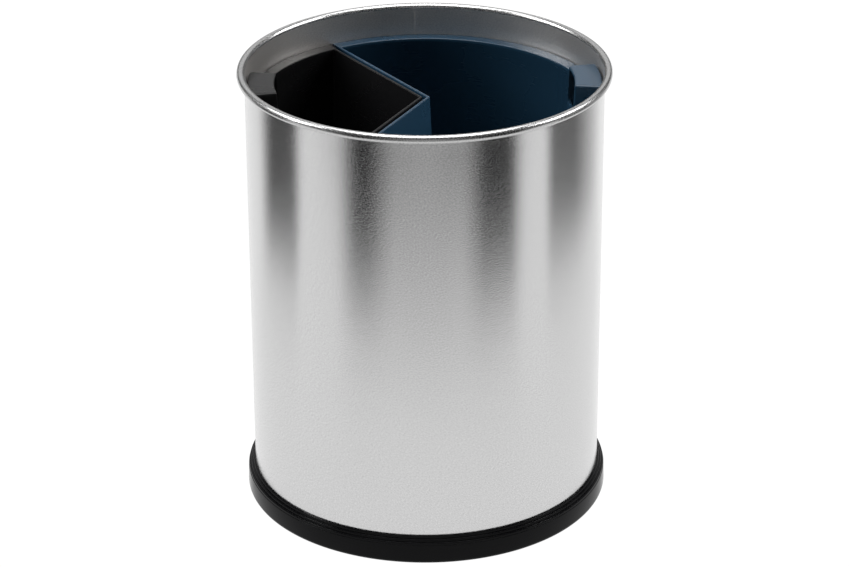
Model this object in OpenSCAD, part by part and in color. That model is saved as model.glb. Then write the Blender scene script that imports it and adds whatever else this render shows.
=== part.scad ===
// Round two-compartment waste bin: a steel sleeve with a rolled rim stands in a plastic base ring,
// and two lift-out liners, one third and two thirds of the circle, stand side by side on its floor.
// Origin: middle of the footprint, on the floor. +Z up. The small liner lies towards -X.

/* [Steel sleeve] */
// Outside diameter over the rolled rim
rim_d = 250; // [240:1:270]
// Height from the floor to the top of the rolled rim
overall_h = 309; // [290:1:330]
// Thickness of the sleeve's sheet
sheet_t = 0.6; // [0.5:0.1:0.8]
// Diameter of the rolled bead
bead_d = 5.6; // [5:0.1:6.4]
// How far round the bead is rolled, in degrees from the wall
bead_roll = 310; // [270:5:310]
// Width of the hem folded in under the floor plate
hem_w = 7; // [5:0.5:10]

/* [Base ring] */
// Height of the ring's skirt where it meets the sleeve
ring_h = 19.3; // [18:0.1:20]
// Height of the flared lower tier
tier_h = 14; // [12:0.5:14.5]
// How far the foot stands out past the sleeve
foot_out = 5.4; // [5.2:0.1:7]
// How much the lower tier narrows towards its top
tier_flare = 0.9; // [0.5:0.1:1.2]
// Radius of the foot's outer bottom edge
foot_round = 3; // [2:0.5:4]
// Thickness of the lip under the sleeve
lip_t = 4; // [3:0.5:5]
// Width of the lip under the sleeve
lip_w = 14; // [10:1:20]
// Number of fine steps on the upper tier
step_count = 3; // [2:1:3]

/* [Floor plate] */
// Thickness of the floor plate
plate_t = 0.8; // [0.6:0.1:1.2]
// Height of the floor plate's turned-down edge
plate_edge_h = 4.4; // [4:0.2:6]
// Depth of the pressed stiffening groove
groove_depth = 1.5; // [1:0.1:2]

/* [Liners] */
// Depth of the liners' rims below the top of the sleeve
rim_drop = 21.8; // [20:0.1:30]
// Thickness of the moulded walls
wall_t = 2; // [1.6:0.1:2.4]
// Draft of every moulded wall, in degrees
draft = 2.2; // [1.5:0.1:2.5]
// Gap between the rim flange and the sleeve
flange_gap = 0.5; // [0.4:0.1:1]
// Width of the rim flange outside the wall
flange_w = 6.9; // [6:0.1:8]
// Height of the flange's turned-down lip
flange_lip_h = 5; // [4:0.5:7]
// Half of the gap between the two partitions at the rim
half_gap = 1.15; // [0.8:0.05:2]

/* [Grips] */
// Height of the grip's top plate above the liner's rim
grip_rise = 12.3; // [10:0.1:14]
// How far the grip stands in from the sleeve
grip_depth = 19.4; // [18:0.1:22]
// Half of the grip's width, in degrees
grip_half = 10.6; // [8:0.1:14]
// Gap between the grip's top plate and the sleeve
grip_gap = 1.2; // [0.8:0.1:2]
// Height of the finger opening
finger_h = 24; // [20:0.5:26]
// Height of the closed front below the finger opening
apron_h = 10; // [8:0.5:14]
// Height of the slope that leads the grip back to the wall
slope_h = 12; // [10:0.5:16]

/* [Hidden] */
$fn = 144;
// sleeve
sleeve_ri = rim_d / 2 - bead_d;
sleeve_ro = sleeve_ri + sheet_t;
bead_r = bead_d / 2;
bead_z = overall_h - bead_r;
hem_z = lip_t;
// floor plate
plate_z = hem_z + sheet_t + plate_edge_h;
groove_r = sleeve_ri - 11;
groove_w = 5;
// base ring
foot_ro = sleeve_ro + foot_out;
step_round = 0.7;
step_in = (foot_out - tier_flare) / step_count;
step_drop = (ring_h - tier_h) / step_count;
// liners
liner_top = overall_h - rim_drop;
flange_ro = sleeve_ri - flange_gap;
wall_ro = flange_ro - flange_w;
lip_thick = 1.5;
side_cut = 2 * rim_d;
leg_half = 60;
// grips
grip_top = liner_top + grip_rise;
grip_ro = sleeve_ri - grip_gap;
grip_ri = sleeve_ri - grip_depth;
plate_lip_h = 3;
jamb = wall_t / wall_ro * 180 / PI;
finger_top = grip_top - wall_t;
finger_low = finger_top - finger_h;
apron_low = finger_low - apron_h;
slope_low = apron_low - slope_h;

// Radius of a drafted surface at height z, when it is r at height top
function drafted(r, top, z) = r - (top - z) * tan(draft);

// Half of space, set back from a plane through the axis by away at the rim and leaning with
// the draft: lean is 1 for a face of the small liner and -1 for a face of the large one
module half_space(turn, away, lean) {
  rotate([0, 0, turn])
    translate([away, 0, liner_top])
      rotate([0, -lean * draft, 0])
        translate([0, -side_cut, -side_cut])
          cube([2 * side_cut, 2 * side_cut, 2 * side_cut]);
}

// Everything on the small liner's side of the partition's two legs
module small_side(away, lean) {
  intersection() {
    half_space(90 + leg_half, away, lean);
    half_space(270 - leg_half, away, lean);
  }
}

// Filled outside of a full round bucket: drafted wall, rim flange and its turned-down lip
module round_outside() {
  rotate_extrude() polygon([
    [0, plate_z],
    [drafted(wall_ro, liner_top, plate_z), plate_z],
    [drafted(wall_ro, liner_top, liner_top - wall_t), liner_top - wall_t],
    [flange_ro - lip_thick, liner_top - wall_t],
    [flange_ro - lip_thick, liner_top - flange_lip_h],
    [flange_ro, liner_top - flange_lip_h],
    [flange_ro, liner_top],
    [0, liner_top]
  ]);
}

// Hollow of the full round bucket, above its floor
module round_inside() {
  low = plate_z + wall_t;
  high = liner_top + wall_t;
  inner_r = wall_ro - wall_t;
  translate([0, 0, low])
    cylinder(h = high - low, r1 = drafted(inner_r, liner_top, low), r2 = drafted(inner_r, liner_top, high));
}

// Sector of a turned profile, half degrees to each side of +X
module sector(half) {
  rotate([0, 0, -half]) rotate_extrude(angle = 2 * half) children();
}

// Filled outside of the grip: top plate, leaning front, and the slope back into the wall
module grip_outside() {
  low_r = drafted(wall_ro - wall_t / 2, liner_top, slope_low);
  sector(grip_half) polygon([
    [grip_ri, grip_top],
    [grip_ro, grip_top],
    [grip_ro, liner_top - flange_lip_h],
    [wall_ro - wall_t / 2, liner_top - flange_lip_h],
    [low_r, slope_low],
    [drafted(grip_ri, grip_top, apron_low), apron_low]
  ]);
}

// Space inside the grip, open to the sleeve, with the finger opening through its front
module grip_inside() {
  past = sleeve_ri + 1;
  front_r = drafted(grip_ri + wall_t, grip_top, apron_low);
  sector(grip_half - jamb) {
    polygon([
      [drafted(grip_ri + wall_t, grip_top, finger_top), finger_top],
      [grip_ro - wall_t, finger_top],
      [grip_ro - wall_t, finger_top - plate_lip_h],
      [past, finger_top - plate_lip_h],
      [past, slope_low + wall_t / 2],
      [wall_ro, slope_low + wall_t / 2],
      [front_r, apron_low + wall_t / 2]
    ]);
    translate([grip_ri - 2 * wall_t, finger_low]) square([3 * wall_t + 1, finger_h]);
  }
}

// Steel sleeve: bead rolled outwards, straight wall, hem folded in at the bottom
module body_sleeve() {
  open_half = (360 - bead_roll) / 2;
  open_mid = 180 + open_half;
  far = bead_d;
  color("silver") rotate_extrude() {
    translate([sleeve_ri, hem_z]) square([sheet_t, bead_z - hem_z]);
    translate([sleeve_ri - hem_w, hem_z]) square([hem_w + sheet_t, sheet_t]);
    translate([sleeve_ri + bead_r, bead_z]) difference() {
      circle(bead_r);
      circle(bead_r - sheet_t);
      polygon([
        [0, 0],
        [far * cos(180), far * sin(180)],
        [far * cos(open_mid), far * sin(open_mid)],
        [far * cos(open_mid + open_half), far * sin(open_mid + open_half)]
      ]);
    }
  }
}

// Floor plate: flat disc with a pressed groove and a turned-down edge that stands on the hem
module floor_plate() {
  low = plate_z - groove_depth;
  bend = groove_depth;
  color("lightgray") rotate_extrude() {
    polygon([
      [0, plate_z],
      [groove_r - groove_w / 2 - bend, plate_z],
      [groove_r - groove_w / 2, low],
      [groove_r + groove_w / 2, low],
      [groove_r + groove_w / 2 + bend, plate_z],
      [sleeve_ri, plate_z],
      [sleeve_ri, hem_z + sheet_t],
      [sleeve_ri - plate_t, hem_z + sheet_t],
      [sleeve_ri - plate_t, plate_z - plate_t],
      [groove_r + groove_w / 2 + bend, plate_z - plate_t],
      [groove_r + groove_w / 2, low - plate_t],
      [groove_r - groove_w / 2, low - plate_t],
      [groove_r - groove_w / 2 - bend, plate_z - plate_t],
      [0, plate_z - plate_t]
    ]);
  }
}

// Base ring: flared lower tier, finely stepped upper tier, and a lip that the sleeve stands on
module base_ring() {
  tier_ro = foot_ro - tier_flare;
  color([0.06, 0.06, 0.07]) rotate_extrude() {
    translate([sleeve_ro - lip_w, 0]) square([lip_w, lip_t]);
    polygon([
      [sleeve_ro, 0],
      [foot_ro - foot_round, 0],
      [foot_ro, foot_round],
      [tier_ro, tier_h],
      [sleeve_ro, tier_h]
    ]);
    intersection() {
      translate([foot_ro - foot_round, foot_round]) circle(foot_round);
      translate([foot_ro - foot_round, 0]) square(foot_round);
    }
    for (i = [0 : step_count - 1]) {
      out = sleeve_ro + step_in * (i + 1);
      top = ring_h - step_drop * i;
      translate([sleeve_ro, tier_h - 1]) square([out - sleeve_ro, top - step_round - tier_h + 1]);
      translate([sleeve_ro, tier_h - 1]) square([out - sleeve_ro - step_round, top - tier_h + 1]);
      translate([out - step_round, top - step_round]) circle(step_round);
    }
  }
}

// Large liner: two thirds of the circle, with a notch that the small liner fits
module blue_liner() {
  color([0.12, 0.26, 0.36]) difference() {
    union() {
      difference() {
        round_outside();
        small_side(-half_gap, -1);
        difference() {
          round_inside();
          small_side(-half_gap - wall_t, -1);
        }
      }
      grip_outside();
    }
    grip_inside();
  }
}

// Small liner: one third of the circle
module black_liner() {
  color([0.08, 0.08, 0.09]) difference() {
    union() {
      difference() {
        intersection() {
          round_outside();
          small_side(half_gap, 1);
        }
        intersection() {
          round_inside();
          small_side(half_gap + wall_t, 1);
        }
      }
      rotate([0, 0, 180]) grip_outside();
    }
    rotate([0, 0, 180]) grip_inside();
  }
}

body_sleeve();
floor_plate();
base_ring();
blue_liner();
black_liner();
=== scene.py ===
"""Round steel waste bin with two lift-out liners: the finished surfaces, materials and studio.

All lengths are in metres.
"""

import bmesh
import bpy
import numpy as np
from mathutils import Matrix, Vector


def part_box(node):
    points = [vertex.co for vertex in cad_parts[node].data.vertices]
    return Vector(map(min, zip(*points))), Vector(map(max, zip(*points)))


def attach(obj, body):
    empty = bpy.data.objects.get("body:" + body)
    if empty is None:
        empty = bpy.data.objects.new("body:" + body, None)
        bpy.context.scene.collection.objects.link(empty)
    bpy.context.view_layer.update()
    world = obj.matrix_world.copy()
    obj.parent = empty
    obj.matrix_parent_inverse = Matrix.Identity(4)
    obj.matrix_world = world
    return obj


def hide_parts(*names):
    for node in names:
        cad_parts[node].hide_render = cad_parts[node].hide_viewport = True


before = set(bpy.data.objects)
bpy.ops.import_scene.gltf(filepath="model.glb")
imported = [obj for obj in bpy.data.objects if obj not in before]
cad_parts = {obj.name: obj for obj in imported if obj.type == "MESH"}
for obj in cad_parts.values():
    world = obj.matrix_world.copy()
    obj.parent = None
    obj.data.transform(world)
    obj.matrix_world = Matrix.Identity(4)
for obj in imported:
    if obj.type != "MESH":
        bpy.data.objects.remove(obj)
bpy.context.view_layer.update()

# ---------------------------------------------------------------------------------------------
# Steel sleeve. One sheet of brushed stainless steel, rolled into a tube and butt welded down the
# back. The top edge is rolled outwards into a hollow bead, the bottom edge is folded in as a hem
# that carries the floor plate.
# ---------------------------------------------------------------------------------------------
mm = 0.001
sleeve_low, sleeve_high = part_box("body_sleeve")
rim_radius = sleeve_high.x
rim_top = sleeve_high.z
hem_height = sleeve_low.z
bead_radius = 2.8 * mm
sheet = 0.6 * mm
bead_roll = np.radians(310)
hem_width = 7 * mm
sheet_inside = rim_radius - 2 * bead_radius
sheet_outside = sheet_inside + sheet
turn_steps = 480
weld_side = np.radians(90)


def arc(centre, radius, start, end, steps):
    """Points on a circle: the centre plus the radius times the cosine and sine of an angle that
    runs evenly from start to end."""
    angle = np.linspace(start, end, steps)
    return np.array(centre) + radius * np.stack([np.cos(angle), np.sin(angle)], axis=-1)


def rounded(corners, radii, steps=6):
    """A closed outline through the corners, each corner replaced by an arc. The arc's centre lies
    on the corner's bisector, at the radius divided by the sine of half the corner's angle."""
    corners = np.array(corners, float)
    radii = np.broadcast_to(radii, len(corners))
    outline = []
    for before, here, after, radius in zip(
        np.roll(corners, 1, axis=0), corners, np.roll(corners, -1, axis=0), radii
    ):
        if radius == 0:
            outline.append(here[None])
            continue
        to_before = (before - here) / np.linalg.norm(before - here)
        to_after = (after - here) / np.linalg.norm(after - here)
        half = np.arccos(np.clip(to_before @ to_after, -1, 1)) / 2
        bisector = (to_before + to_after) / np.linalg.norm(to_before + to_after)
        centre = here + bisector * radius / np.sin(half)
        first = here + to_before * radius / np.tan(half) - centre
        last = here + to_after * radius / np.tan(half) - centre
        start = np.arctan2(first[1], first[0])
        sweep = (np.arctan2(last[1], last[0]) - start + np.pi) % (2 * np.pi) - np.pi
        outline.append(arc(centre, radius, start, start + sweep, steps))
    return np.concatenate(outline)


def build(name, points, faces, uv=None):
    """A mesh piece from arrays of points and faces. Doubled points at seams and poles are merged,
    and the faces are turned round if they enclose a negative volume."""
    mesh = bpy.data.meshes.new(name)
    mesh.from_pydata(points, [], faces)
    if uv is not None:
        layer = mesh.uv_layers.new(name="surface")
        layer.uv.foreach_set("vector", np.asarray(uv, np.float32).ravel())
    clean(mesh)
    piece = bpy.data.objects.new(name, mesh)
    bpy.context.scene.collection.objects.link(piece)
    return piece


def clean(mesh, join=1e-7, sharp=np.radians(32)):
    """Merges doubled points, turns the faces outwards by the sign of the enclosed volume, and
    shades smoothly except across edges sharper than the given angle."""
    work = bmesh.new()
    work.from_mesh(mesh)
    bmesh.ops.remove_doubles(work, verts=work.verts, dist=join)
    bmesh.ops.dissolve_degenerate(work, edges=work.edges, dist=join)
    if work.calc_volume(signed=True) < 0:
        bmesh.ops.reverse_faces(work, faces=work.faces)
    work.to_mesh(mesh)
    work.free()
    mesh.polygons.foreach_set("use_smooth", np.ones(len(mesh.polygons), bool))
    mesh.set_sharp_from_angle(angle=sharp)


def grid(points, wrap_rows, wrap_columns):
    """Four-sided faces between neighbours of a grid of points, and a UV map in metres: the distance
    along the first row and along the first column."""
    rows, columns, _ = points.shape
    row, column = np.meshgrid(
        np.arange(rows - (not wrap_rows)), np.arange(columns - (not wrap_columns)), indexing="ij"
    )
    row, column = row.ravel(), column.ravel()
    steps = [(0, 0), (1, 0), (1, 1), (0, 1)]
    faces = np.stack(
        [(row + i) % rows * columns + (column + j) % columns for i, j in steps], axis=-1
    )
    along_row = np.linalg.norm(np.diff(points[:, 0], axis=0, append=points[:1, 0]), axis=-1)
    along_column = np.linalg.norm(np.diff(points[0], axis=0, append=points[0, :1]), axis=-1)
    u = np.concatenate([[0], np.cumsum(along_row)])
    v = np.concatenate([[0], np.cumsum(along_column)])
    uv = np.stack([np.stack([u[row + i], v[column + j]], axis=-1) for i, j in steps], axis=1)
    return points.reshape(-1, 3), faces, uv


def turned(name, profile, steps=turn_steps, closed=True):
    """A surface of revolution. The first parameter is the turn about Z, the second runs along the
    profile of radius and height, and round to its start if it is closed."""
    turn = weld_side + np.linspace(0, 2 * np.pi, steps, endpoint=False)
    points = np.stack(
        [
            np.outer(np.cos(turn), profile[:, 0]),
            np.outer(np.sin(turn), profile[:, 0]),
            np.broadcast_to(profile[:, 1], (steps, len(profile))),
        ],
        axis=-1,
    )
    return build(name, *grid(points, True, closed))


bead_centre = np.array([sheet_inside + bead_radius, rim_top - bead_radius])
bead_end = np.pi - bead_roll
wall_heights = np.linspace(hem_height + 3 * sheet, bead_centre[1], 24)[:-1]
outer_wall = np.stack([np.full(23, sheet_outside), wall_heights], axis=-1)
inner_wall = np.stack([np.full(23, sheet_inside), wall_heights[::-1]], axis=-1)
bead_edge = np.array([np.cos(bead_end), np.sin(bead_end)])
edge_centre = bead_centre + (bead_radius - sheet / 2) * bead_edge
hem_inside = sheet_inside - hem_width
hem_mid = hem_height + sheet / 2
sleeve_profile = np.concatenate(
    [
        arc([sheet_outside - 2 * sheet, hem_height + 2 * sheet], 2 * sheet, -np.pi / 2, 0, 8),
        outer_wall,
        arc(bead_centre, bead_radius - sheet, np.pi, bead_end, 64),
        arc(edge_centre, sheet / 2, bead_end + np.pi, bead_end + 2 * np.pi, 6)[1:-1],
        arc(bead_centre, bead_radius, bead_end, np.pi, 72),
        inner_wall,
        arc([sheet_inside - sheet, hem_height + 2 * sheet], sheet, 0, -np.pi / 2, 6),
        arc([hem_inside, hem_mid], sheet / 2, np.pi / 2, 3 * np.pi / 2, 6),
    ]
)
sleeve = turned("sleeve", sleeve_profile)

# The brushing: how many strokes, streaks and clouds there are in a metre along and up the sheet.
stroke_tilt = np.radians(32)
strokes = (750, 1500, 1)
fine_streaks = (700, 3200, 1)
long_streaks = (30, 1700, 1)
clouds = (14, 14, 1)
dull_stroke, bright_stroke = 0.82, 1.12
stroke_roughness = (-0.05, 0.08)
streak_roughness = 0.02
cloud_roughness = 0.01
streak_height = 0.3
# The weld: it fades out between two distances from its middle, is duller and a little sunk.
weld_round_half = np.pi * sleeve_profile[0, 0]
weld_middle, weld_edge = 0.4 * mm, 1.1 * mm
weld_roughness = 0.12
weld_sink = 0.6


class Nodes:
    """A short way to write a material's nodes."""

    def __init__(self, name):
        self.material = bpy.data.materials.new(name)
        self.material.use_nodes = True
        self.tree = self.material.node_tree
        self.shader = self.tree.nodes["Principled BSDF"]

    def add(self, kind, settings=None, **inputs):
        node = self.tree.nodes.new(kind)
        for key, value in (settings or {}).items():
            setattr(node, key, value)
        for key, value in inputs.items():
            self.put(node.inputs[key.replace("_", " ")], value)
        return node

    def put(self, socket, value):
        if isinstance(value, bpy.types.NodeSocket):
            self.tree.links.new(value, socket)
        else:
            socket.default_value = value

    def set(self, **inputs):
        for key, value in inputs.items():
            self.put(self.shader.inputs[key.replace("_", " ")], value)

    def math(self, operation, *values, clamp=False):
        node = self.add("ShaderNodeMath", {"operation": operation, "use_clamp": clamp})
        for socket, value in zip(node.inputs, values):
            self.put(socket, value)
        return node.outputs[0]

    def scaled(self, vector, size):
        node = self.add("ShaderNodeVectorMath", {"operation": "MULTIPLY"})
        self.put(node.inputs[0], vector)
        node.inputs[1].default_value = size
        return node.outputs[0]

    def noise(self, vector, scale, detail=3.0, rough=0.5):
        return self.add(
            "ShaderNodeTexNoise", Vector=vector, Scale=scale, Detail=detail, Roughness=rough
        ).outputs["Fac"]

    def ramp(self, value, low, high, to_low, to_high):
        node = self.add("ShaderNodeMapRange", {"clamp": True})
        for socket, number in zip(node.inputs, (value, low, high, to_low, to_high)):
            self.put(socket, number)
        return node.outputs[0]

    def mixed(self, factor, first, second):
        node = self.add("ShaderNodeMix", {"data_type": "RGBA"})
        self.put(node.inputs["Factor"], factor)
        self.put(node.inputs["A"], first)
        self.put(node.inputs["B"], second)
        return node.outputs["Result"]


def brushed(name, colour, roughness, anisotropy, depth, weld_round=0):
    """Brushed steel. Short slanting strokes, about a millimetre long, lie over finer and longer
    streaks along the sheet. They move the height, the roughness and the colour a little. Where the
    distance half the way round is given, a weld ground flush runs up the line where the sheet's
    ends meet."""
    steel = Nodes(name)
    place = steel.add("ShaderNodeUVMap", {"uv_map": "surface"}).outputs["UV"]
    tilted = steel.add(
        "ShaderNodeVectorRotate", {"rotation_type": "Z_AXIS"}, Vector=place, Angle=stroke_tilt
    ).outputs[0]
    stroke = steel.noise(steel.scaled(tilted, strokes), 1.0, 2.0, 0.6)
    fine = steel.noise(steel.scaled(place, fine_streaks), 1.0, 2.0, 0.5)
    long = steel.noise(steel.scaled(place, long_streaks), 1.0, 2.0, 0.5)
    cloud = steel.noise(steel.scaled(place, clouds), 1.0, 3.0, 0.5)
    streak = steel.math("ADD", steel.math("MULTIPLY", fine, 0.5), steel.math("MULTIPLY", long, 0.5))
    smoothest, roughest = roughness + stroke_roughness[0], roughness + stroke_roughness[1]
    rough = steel.math(
        "ADD",
        steel.ramp(stroke, 0.35, 0.65, smoothest, roughest),
        steel.math(
            "ADD",
            steel.ramp(streak, 0.35, 0.65, -streak_roughness, streak_roughness),
            steel.ramp(cloud, 0.3, 0.7, -cloud_roughness, cloud_roughness),
        ),
    )
    height = steel.math("ADD", stroke, steel.math("MULTIPLY", streak, streak_height))
    if weld_round:
        across = steel.add("ShaderNodeSeparateXYZ", Vector=place).outputs["X"]
        from_weld = steel.math("PINGPONG", across, weld_round)
        weld = steel.ramp(from_weld, weld_middle, weld_edge, 1.0, 0.0)
        rough = steel.math("ADD", rough, steel.math("MULTIPLY", weld, weld_roughness))
        height = steel.math("SUBTRACT", height, steel.math("MULTIPLY", weld, weld_sink))
    steel.set(
        Metallic=1.0,
        Anisotropic=anisotropy,
        Anisotropic_Rotation=0.25,
        Roughness=rough,
        Base_Color=steel.mixed(
            steel.ramp(stroke, 0.3, 0.7, 0.0, 1.0),
            (*[dull_stroke * part for part in colour], 1),
            (*[bright_stroke * part for part in colour], 1),
        ),
    )
    tangent = steel.add("ShaderNodeTangent", {"direction_type": "UV_MAP", "uv_map": "surface"})
    bump = steel.add("ShaderNodeBump", Strength=1.0, Distance=depth, Height=height)
    steel.set(Tangent=tangent.outputs[0], Normal=bump.outputs[0])
    return steel.material


outside_steel = brushed(
    "steel_outside", (0.612, 0.611, 0.612), 0.17, 0.75, 0.06 * mm, weld_round_half
)
# The inside is rougher and less brushed. Its colour is set lighter and warmer than the outside's as
# painted light inside the sleeve.
inside_steel_painted_light = brushed("steel_inside_painted_light", (0.64, 0.62, 0.60), 0.38, 0.3, 0.1 * mm, weld_round_half)
# The bead is the same sheet rolled over. Its colour is set darker than the wall's as painted shade.
bead_steel_painted_shade = brushed("steel_bead_painted_shade", (0.53, 0.53, 0.53), 0.24, 0.3, 0.01 * mm)
for sleeve_steel in (outside_steel, inside_steel_painted_light, bead_steel_painted_shade):
    sleeve.data.materials.append(sleeve_steel)
# The bead takes the third finish, its colour darkened as painted shade, the inside of the wall the
# second, its colour lightened as painted light, and the outside the first.
middles = np.empty(3 * len(sleeve.data.polygons))
sleeve.data.polygons.foreach_get("center", middles)
middles = middles.reshape(-1, 3)
from_axis = np.hypot(middles[:, 0], middles[:, 1])
in_bead = middles[:, 2] > rim_top - 2 * bead_radius
finish = np.where(in_bead, 2, np.where(from_axis < sheet_inside + sheet / 2, 1, 0))
sleeve.data.polygons.foreach_set("material_index", finish.astype(np.int32))
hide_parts("body_sleeve")
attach(sleeve, "shell")

# ---------------------------------------------------------------------------------------------
# Floor plate. A pressed disc of plain dull sheet with a stiffening groove near its rim and a
# turned-down edge. It drops into the sleeve and stands on the hem, with nothing else to hold it.
# ---------------------------------------------------------------------------------------------
plate_low, plate_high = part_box("floor_plate")
plate_radius = plate_high.x
plate_top = plate_high.z
plate_low_z = plate_low.z
plate_sheet = 0.8 * mm
groove_radius = 108.4 * mm
groove_half = 2.5 * mm
groove_depth = 1.5 * mm
plate_bend = 1.5 * mm


def thickened(line, thickness):
    """A closed profile round an open line: the line itself, then the line moved along its normals
    by the thickness, run backwards."""
    along = np.gradient(line, axis=0)
    along /= np.linalg.norm(along, axis=1, keepdims=True)
    normal = np.stack([along[:, 1], -along[:, 0]], axis=-1)
    return np.concatenate([line, (line + thickness * normal)[::-1]])


def wave(radius, middle, half, depth):
    """A dent of the given depth: half the depth times one plus the cosine of the distance from the
    middle, inside half its width on each side, and nothing outside."""
    away = np.clip(np.abs(radius - middle) / half, 0, 1)
    return depth * (1 + np.cos(np.pi * away)) / 2


bend_middle = [plate_radius - plate_bend, plate_top - plate_bend]
flat_radii = np.concatenate(
    [
        np.linspace(0, groove_radius - groove_half, 24),
        np.linspace(groove_radius - groove_half, groove_radius + groove_half, 21)[1:],
        np.linspace(groove_radius + groove_half, bend_middle[0], 5)[1:-1],
    ]
)
plate_line = np.concatenate(
    [
        np.stack(
            [flat_radii, plate_top - wave(flat_radii, groove_radius, groove_half, groove_depth)],
            axis=-1,
        ),
        arc(bend_middle, plate_bend, np.pi / 2, 0, 8),
        [[plate_radius, plate_low_z]],
    ]
)
plate_profile = thickened(plate_line, plate_sheet)
floor = turned("floor_disc", plate_profile, 256, False)
# The plate is brushed straight across, so its UV map is its plan, in metres.
plate_points = np.empty(3 * len(floor.data.vertices))
floor.data.vertices.foreach_get("co", plate_points)
corner_point = np.empty(len(floor.data.loops), np.int32)
floor.data.loops.foreach_get("vertex_index", corner_point)
plate_uv = plate_points.reshape(-1, 3)[corner_point, :2].astype(np.float32)
floor.data.uv_layers["surface"].uv.foreach_set("vector", plate_uv.ravel())
floor.data.materials.append(brushed("steel_plate", (0.55, 0.55, 0.55), 0.42, 0.3, 0.04 * mm))
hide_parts("floor_plate")
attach(floor, "shell")

# ---------------------------------------------------------------------------------------------
# Base ring. A moulded black plastic foot that the sleeve stands in: a flat lip on the ground, a
# flared foot with a rounded edge, and a stepped collar pressed over the sleeve's lower edge.
# ---------------------------------------------------------------------------------------------
_, ring_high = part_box("base_ring")
ring_radius = ring_high.x
ring_top = ring_high.z
foot_round = 3 * mm
tier_height = 14 * mm
tier_radius = ring_radius - 0.9 * mm
step_height = (ring_top - tier_height) / 3
step_width = (tier_radius - sheet_outside) / 3
lip_inside = sheet_outside - 14 * mm
lip_top = hem_height
step_corners, step_rounds = [], []
for step in (3, 2, 1):
    height = ring_top - (step - 1) * step_height
    step_corners += [
        [sheet_outside + step * step_width, height],
        [sheet_outside + (step - 1) * step_width, height],
    ]
    step_rounds += [0.7 * mm, 0.2 * mm]
step_rounds[-1] = 0.1 * mm
ring_profile = rounded(
    [
        [lip_inside, 0],
        [ring_radius, 0],
        [tier_radius + 0.35 * mm, tier_height],
        [tier_radius, tier_height],
        *step_corners,
        [sheet_outside, lip_top],
        [lip_inside, lip_top],
    ],
    np.array([0.5 * mm, foot_round, 0.25 * mm, 0.1 * mm, *step_rounds, 0.1 * mm, 0.8 * mm]),
    8,
)
ring = turned("foot_ring", ring_profile)


grain_size = 2600
grain_depth = 0.05 * mm
grain_strength = 0.12
skin_clouds = 18
scuff_stretch = (60, 60, 900)
scuff_roughness = 0.12


def plastic(name, colour, roughness, scuffs, shine):
    """Moulded plastic: a fine even grain, broad clouds of duller and shinier skin, and thin level
    scuffs from use."""
    resin = Nodes(name)
    place = resin.add("ShaderNodeTexCoord").outputs["Object"]
    skin = resin.noise(place, grain_size, 2.0, 0.6)
    cloud = resin.noise(place, skin_clouds, 3.0, 0.5)
    rub = resin.noise(resin.scaled(place, scuff_stretch), 1.0, 4.0, 0.6)
    scuff = resin.math("MULTIPLY", resin.ramp(rub, 0.5, 0.85, 0.0, 1.0), scuffs)
    resin.set(
        Roughness=resin.math(
            "ADD",
            resin.ramp(cloud, 0.3, 0.7, roughness - 0.03, roughness + 0.03),
            resin.math("MULTIPLY", scuff, scuff_roughness),
        ),
        Base_Color=resin.mixed(
            scuff, (*colour, 1), (*[part * 1.25 + 0.01 for part in colour], 1)
        ),
    )
    bump = resin.add(
        "ShaderNodeBump", Strength=grain_strength, Distance=grain_depth, Height=skin
    )
    resin.set(Normal=bump.outputs[0], Specular_IOR_Level=shine)
    return resin.material


ring.data.materials.append(plastic("plastic_ring", (0.003, 0.003, 0.0035), 0.15, 0.2, 0.08))
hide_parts("base_ring")
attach(ring, "shell")

# ---------------------------------------------------------------------------------------------
# Liners. Two injection-moulded polypropylene buckets that fill the sleeve side by side: the blue
# one takes 240 degrees and the black one 120. Each stands loose on the floor plate and has a rim
# flange that nearly reaches the sleeve, and a raised hood with a finger opening for lifting it out.
# ---------------------------------------------------------------------------------------------
blue_low, blue_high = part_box("blue_liner")
liner_foot = blue_low.z
hood_top = blue_high.z
liner_top = hood_top - 12.3 * mm
wall = 2 * mm
draft = np.tan(np.radians(2.2))
wall_radius = 112 * mm
flange_radius = 118.9 * mm
flange_lip = 5 * mm
flange_sheet = 1.5 * mm
partition_gap = 1.15 * mm
below_flange = 0.15 * mm
overlap = 0.05 * mm
hood_inside = 100 * mm
hood_outside = 118.2 * mm
hood_half = np.radians(10.6)
hood_wall = np.radians(1.02)
finger_top = hood_top - wall
finger_low = finger_top - 24 * mm
apron_low = finger_low - 10 * mm
slope_low = apron_low - 12 * mm
arc_steps = 144


def sector_outline(radius, away, half, corner, apex):
    """The outline of a sector that faces +X: an arc of the radius out to the half angle on each
    side, and two straight legs back to the middle, set inwards by away. The leg's end is rounded
    by a circle whose centre is the radius less the corner from the middle, and the corner more
    than away from the leg."""
    leg = np.array([np.cos(half), np.sin(half)])
    inward = np.array([np.sin(half), -np.cos(half)])
    from_leg = away + corner
    centre = np.sqrt((radius - corner) ** 2 - from_leg**2) * leg + from_leg * inward
    turn = np.arctan2(centre[1], centre[0])
    outer = arc([0, 0], radius, 0, turn, arc_steps)
    leg_end = arc(centre, corner, turn, half + np.pi / 2, 7)[1:]
    if half < np.pi / 2:
        middle = arc([(away + apex) / inward[0], 0], apex, half + np.pi / 2, np.pi, 6)
    else:
        middle = arc([(away - apex) / inward[0], 0], apex, half - np.pi / 2, 0, 6)
    one_side = np.concatenate([outer, leg_end, middle])
    other_side = one_side[-2:0:-1] * [1, -1]
    return np.concatenate([one_side, other_side])


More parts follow.
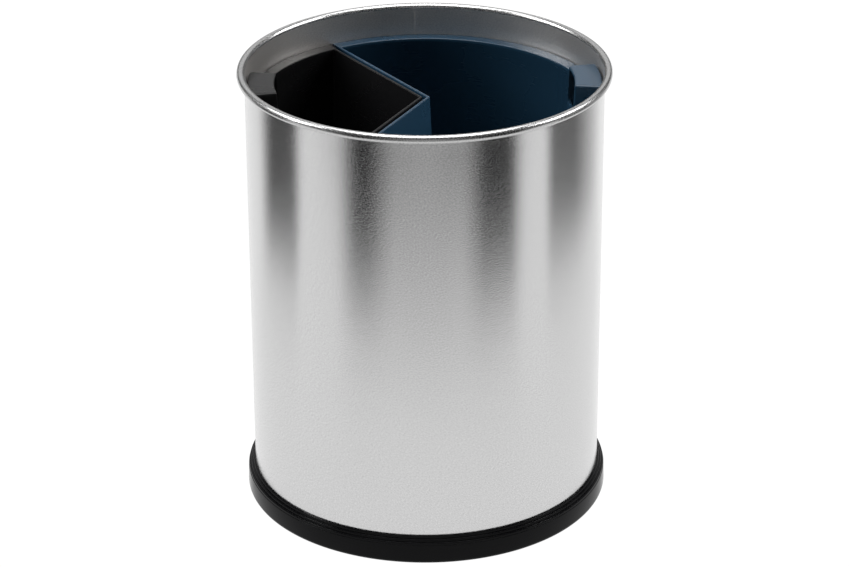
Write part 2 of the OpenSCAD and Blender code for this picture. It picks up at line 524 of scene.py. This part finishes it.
def tub(half, apex_outside, apex_inside):
    """The bucket without its flange, as outlines stacked in height. Going down, the arc's radius
    shrinks and the legs move inwards by the draft times the depth below the rim. The rim and the
    foot are rounded by quarter circles."""
    top = liner_top - below_flange
    rim_round = 0.95 * mm
    corner_outside, corner_inside = 1.6 * mm, 0.8 * mm
    foot_outer, foot_inner = 2.5 * mm, 3.5 * mm
    floor_top = liner_foot + wall
    quarter = np.linspace(0, np.pi / 2, 7)
    outside = [
        (foot_outer * (1 - np.sin(q)), liner_foot + foot_outer * (1 - np.cos(q))) for q in quarter
    ]
    outside += [(rim_round * (1 - np.cos(q)), top - rim_round * (1 - np.sin(q))) for q in quarter]
    inside = [
        (wall - rim_round * (1 - np.sin(q)), top - rim_round * (1 - np.cos(q))) for q in quarter
    ]
    inside += [
        (wall + foot_inner * (1 - np.cos(q)), floor_top + foot_inner * (1 - np.sin(q)))
        for q in quarter
    ]
    rows = []
    for inset, height in outside + inside:
        shrink = (liner_top - height) * draft + inset
        part = np.clip(inset / wall, 0, 1)
        apex = apex_outside + (apex_inside - apex_outside) * part
        corner = corner_outside + (corner_inside - corner_outside) * part
        outline = sector_outline(
            wall_radius - shrink, partition_gap + shrink, half, corner, apex
        )
        rows.append(np.column_stack([outline, np.full(len(outline), height)]))
    points, faces, _ = grid(np.array(rows), False, True)
    count = len(rows[0])
    bottom = np.arange(count).tolist()
    floor_face = (np.arange(count)[::-1] + (len(rows) - 1) * count).tolist()
    return points, [*faces.tolist(), bottom, floor_face]


def flange(half):
    """The rim flange and its turned-down lip: a rounded profile of radius and height carried round
    the arc. Each point of the profile stops where its circle meets the liner's own leg, at the
    half angle less the arcsine of the leg's distance over the radius."""
    low = liner_top - flange_lip
    under = liner_top - wall
    profile = rounded(
        [
            [wall_radius - wall - 0.12 * mm, under - 0.4 * mm],
            [flange_radius - flange_sheet, under - 0.4 * mm],
            [flange_radius - flange_sheet, low],
            [flange_radius, low],
            [flange_radius, liner_top],
            [wall_radius - wall - 0.12 * mm, liner_top],
        ],
        np.array([0.3, 0.6, 0.4, 0.4, 0.9, 0.6]) * mm,
    )
    away = partition_gap + (liner_top - profile[:, 1]) * draft + 0.03 * mm
    end = half - np.arcsin(away / profile[:, 0])
    turn = np.linspace(-1, 1, 2 * arc_steps)[:, None] * end
    points = np.stack(
        [
            profile[:, 0] * np.cos(turn),
            profile[:, 0] * np.sin(turn),
            np.broadcast_to(profile[:, 1], turn.shape),
        ],
        axis=-1,
    )
    return capped(points)


def capped(points):
    """A tube of rows of points, its two ends closed with one face each."""
    rows, columns, _ = points.shape
    flat, faces, _ = grid(points, False, True)
    first = np.arange(columns).tolist()
    last = (np.arange(columns)[::-1] + (rows - 1) * columns).tolist()
    return flat, [*faces.tolist(), first, last]


def swept_block(corners, rounds, half, end_round, steps=24):
    """A rounded profile of radius and height carried round by the half angle to each side of +X.
    Near its ends the profile is set in along its own normals by the end's rounding times one less
    the sine of a quarter turn, as it moves on by the cosine."""
    profile = rounded(corners, rounds)
    along = np.roll(profile, -1, axis=0) - np.roll(profile, 1, axis=0)
    along /= np.linalg.norm(along, axis=1, keepdims=True)
    inward = np.stack([-along[:, 1], along[:, 0]], axis=-1)
    following = np.roll(profile, -1, axis=0)
    if np.sum(profile[:, 0] * following[:, 1] - following[:, 0] * profile[:, 1]) < 0:
        inward = -inward
    quarter = np.linspace(0, np.pi / 2, 6)
    end_angle = end_round / hood_inside
    turns = np.concatenate(
        [
            -half + end_angle * (1 - np.cos(quarter)),
            np.linspace(-half + end_angle, half - end_angle, steps)[1:-1],
            (half - end_angle * (1 - np.cos(quarter)))[::-1],
        ]
    )
    insets = np.concatenate(
        [
            end_round * (1 - np.sin(quarter)),
            np.zeros(steps - 2),
            (end_round * (1 - np.sin(quarter)))[::-1],
        ]
    )
    shifted = profile[None] + insets[:, None, None] * inward[None]
    points = np.stack(
        [
            shifted[..., 0] * np.cos(turns)[:, None],
            shifted[..., 0] * np.sin(turns)[:, None],
            shifted[..., 1],
        ],
        axis=-1,
    )
    return capped(points)


def hood_parts():
    """The hood's outside, its hollow, and the finger opening's cutter, as points and faces."""
    front = hood_inside
    front_low = front - (hood_top - apron_low) * draft
    slope_radius = wall_radius - wall / 2 - (liner_top - slope_low) * draft
    outside = swept_block(
        [
            [front, hood_top],
            [hood_outside, hood_top],
            [hood_outside, liner_top - flange_lip - overlap],
            [wall_radius - wall / 2, liner_top - flange_lip - overlap],
            [slope_radius, slope_low],
            [front_low, apron_low],
        ],
        np.array([1.5, 1.5, 0.5, 0.5, 0.5, 3]) * mm,
        hood_half,
        1.4 * mm,
    )
    past = sheet_inside + 2 * mm
    hollow_front = front + wall - (hood_top - finger_top) * draft
    hollow_low = front + wall - (hood_top - apron_low) * draft
    hollow = swept_block(
        [
            [hollow_front, finger_top],
            [hood_outside - wall, finger_top],
            [hood_outside - wall, finger_top - 3 * mm],
            [past, finger_top - 3 * mm],
            [past, slope_low + wall / 2],
            [wall_radius, slope_low + wall / 2],
            [hollow_low, apron_low + wall / 2],
        ],
        np.array([0.6, 0.4, 0.2, 0.4, 0.4, 0.6, 2]) * mm,
        hood_half - hood_wall,
        0.4 * mm,
    )
    side = (hood_half - hood_wall) * front
    opening = rounded(
        [[-side, finger_low], [side, finger_low], [side, finger_top], [-side, finger_top]],
        np.array([4, 4, 0.8, 0.8]) * mm,
        8,
    )
    reach = np.array([front - 4 * mm, front + wall + 3 * mm])
    turn = opening[:, 0] / front
    cutter = np.stack(
        [
            reach[:, None] * np.cos(turn),
            reach[:, None] * np.sin(turn),
            np.broadcast_to(opening[:, 1], (2, len(turn))),
        ],
        axis=-1,
    )
    return outside, hollow, capped(cutter)


def cut_and_join(name, base, added, removed):
    """The base joined with the added solids, then with the removed solids cut away."""
    result = build(name, *base)
    for mode, solids in (("UNION", added), ("DIFFERENCE", removed)):
        for solid in solids:
            other = build(name + "_tool", *solid)
            step = result.modifiers.new("step", "BOOLEAN")
            step.operation = mode
            step.solver = "MANIFOLD"
            step.object = other
            shaped = result.evaluated_get(bpy.context.evaluated_depsgraph_get())
            mesh = bpy.data.meshes.new_from_object(shaped)
            result.modifiers.clear()
            result.data = mesh
            bpy.data.objects.remove(other)
    return result


def liner(name, half, facing, apex_outside, apex_inside):
    """One liner, turned about Z to face its own side."""
    outside, hollow, opening = hood_parts()
    piece = cut_and_join(
        name, tub(half, apex_outside, apex_inside), [flange(half), outside], [hollow, opening]
    )
    piece.data.transform(Matrix.Rotation(facing, 4, "Z"))
    clean(piece.data)
    return piece


blue = liner("liner_blue", np.radians(120), 0, 0.3 * mm, 1.9 * mm)
blue.data.materials.clear()
blue.data.materials.append(plastic("plastic_blue", (0.011, 0.036, 0.066), 0.27, 0.1, 0.5))
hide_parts("blue_liner")
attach(blue, "large_liner")
black = liner("liner_black", np.radians(60), np.pi, 2.5 * mm, 0.8 * mm)
black.data.materials.clear()
black.data.materials.append(plastic("plastic_black", (0.006, 0.006, 0.0065), 0.27, 0.1, 0.2))
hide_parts("black_liner")
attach(black, "small_liner")

# ---------------------------------------------------------------------------------------------
# Studio. A white floor that glows like a light table, a white wall far behind, soft lights above,
# and plain cards that the camera never sees: they give the steel its dark and light bands.
# ---------------------------------------------------------------------------------------------
view_turn = np.radians(-3.2)
world = bpy.data.worlds.new("studio")
world.use_nodes = True
world.node_tree.nodes["Background"].inputs["Color"].default_value = (1, 1, 1, 1)
world.node_tree.nodes["Background"].inputs["Strength"].default_value = 0.10
bpy.context.scene.world = world


def glowing(name, strength, clear=None):
    """A material that only gives off light, and is partly see-through where the attribute called
    clear is below one."""
    glow = Nodes(name)
    glow.tree.nodes.remove(glow.shader)
    glow.lamp = glow.add("ShaderNodeEmission", Strength=strength)
    lit = glow.lamp.outputs[0]
    if clear:
        cover = glow.add("ShaderNodeAttribute", {"attribute_name": clear}).outputs["Fac"]
        mix = glow.add("ShaderNodeMixShader", Fac=cover)
        glow.put(mix.inputs[1], glow.add("ShaderNodeBsdfTransparent").outputs[0])
        glow.put(mix.inputs[2], lit)
        lit = mix.outputs[0]
    glow.put(glow.tree.nodes["Material Output"].inputs["Surface"], lit)
    return glow


def stage_mesh(name, points, faces, material):
    mesh = bpy.data.meshes.new(name)
    mesh.from_pydata(points, [], faces)
    mesh.materials.append(material)
    thing = bpy.data.objects.new(name, mesh)
    bpy.context.scene.collection.objects.link(thing)
    return thing


stage_mesh(
    "ground",
    [(-8, -8, -0.2 * mm), (8, -8, -0.2 * mm), (8, 8, -0.2 * mm), (-8, 8, -0.2 * mm)],
    [(0, 1, 2, 3)],
    glowing("white_floor", 1.04).material,
)


def soft_card(name, rows, cover, strength):
    """A card that the camera never sees and that casts no shadow: a grid of points, each covered
    from nothing to fully by its own number."""
    points, faces, _ = grid(np.array(rows), False, False)
    thing = stage_mesh(name, points, faces.tolist(), glowing(name, strength, "cover").material)
    layer = thing.data.attributes.new("cover", "FLOAT", "POINT")
    layer.data.foreach_set("value", np.ravel(cover))
    thing.visible_camera = False
    thing.visible_shadow = False
    thing.visible_transmission = False
    return thing


def card(name, start, end, soft_start, soft_end, distance, strength, high=0.6):
    """An upright card curved round the bin, seen only in reflections. Its angles are measured from
    the camera's side, and each end fades out over its own angle."""
    angles = np.linspace(start, end, 60)
    cover = np.minimum((angles - start) / soft_start, (end - angles) / soft_end).clip(0, 1)
    turn = np.radians(angles) + view_turn - np.pi / 2
    foot = np.stack([distance * np.cos(turn), distance * np.sin(turn), 0 * turn], axis=-1)
    thing = soft_card(name, [foot, foot + [0, 0, high]], np.tile(cover, 2), strength)
    thing.visible_diffuse = False


# Painted shade: a dim glowing sheet that the camera never sees. It stands for the darker floor in
# front of the bin, in the steel's reflections and in the light it gives. It fades in from 0.34 m to
# 1 m from the axis.
sideways = np.array([np.cos(view_turn), np.sin(view_turn), 0])
forwards = np.array([-np.sin(view_turn), np.cos(view_turn), 0])
sheet_rows = [
    [away * forwards - 5 * sideways, away * forwards + 5 * sideways] for away in (-0.34, -1, -6)
]
soft_card("card_floor", sheet_rows, [0, 0, 1, 1, 1, 1], 0.1)
# Name, start and end, the two soft ends, all in degrees, then distance in metres and brightness.
card("card_far_left", -119, -79, 13, 1, 0.54, 0.05)
card("card_left", -51, -18, 11, 14, 0.54, 0.0)
card("card_centre", -20, 19, 16, 13, 0.85, 0.38)
card("card_right", 21, 58, 13, 8, 0.55, 0.0)
card("card_far_right", 76, 136, 2, 35, 0.57, 0.13)

backdrop_turn = np.linspace(0, 2 * np.pi, 48, endpoint=False)
backdrop_rows = [
    np.stack([7.5 * np.cos(backdrop_turn), 7.5 * np.sin(backdrop_turn), 0 * backdrop_turn + z], -1)
    for z in (-0.1, 7.0)
]
backdrop_points, backdrop_faces, _ = grid(np.array(backdrop_rows), False, True)
backdrop = stage_mesh(
    "backdrop", backdrop_points, backdrop_faces.tolist(), glowing("white_wall", 1.0).material
)
backdrop.visible_diffuse = False
backdrop.visible_glossy = False
backdrop.visible_shadow = False


def softbox(name, place, size, power, aim=(0, 0, 0.15)):
    """A soft rectangular light aimed at the bin."""
    lamp = bpy.data.lights.new(name, "AREA")
    lamp.shape = "RECTANGLE"
    lamp.size, lamp.size_y = size
    lamp.energy = power
    light = bpy.data.objects.new(name, lamp)
    light.location = place
    light.rotation_euler = (Vector(aim) - Vector(place)).to_track_quat("-Z", "Y").to_euler()
    bpy.context.scene.collection.objects.link(light)
    return light


softbox("light_left", (-1.5, 0.25, 1.25), (0.9, 1.0), 29)
softbox("light_right", (1.5, 0.25, 1.25), (0.9, 1.0), 27)
softbox("light_top", (0, 0.15, 2.0), (1.6, 1.6), 34)
softbox("light_back", (0, 1.8, 1.3), (2.4, 1.2), 6)

# ---------------------------------------------------------------------------------------------
# Camera. It looks down at the bin from the front, a little to its left.
# ---------------------------------------------------------------------------------------------
camera = bpy.data.objects.new("camera", bpy.data.cameras.new("camera"))
camera.data.sensor_width = 36
camera.data.lens = 127.73
camera.data.shift_x = -0.00054
camera.data.clip_end = 100
camera.matrix_world = (
    Matrix.Rotation(view_turn, 4, "Z")
    @ Matrix.Translation((0, -1.8751, 1.0287))
    @ Matrix.Rotation(np.radians(90 - 25.13), 4, "X")
    @ Matrix.Rotation(-0.0044, 4, "Z")
)
bpy.context.scene.collection.objects.link(camera)
bpy.context.scene.camera = camera
bpy.context.scene.view_settings.view_transform = "Standard"
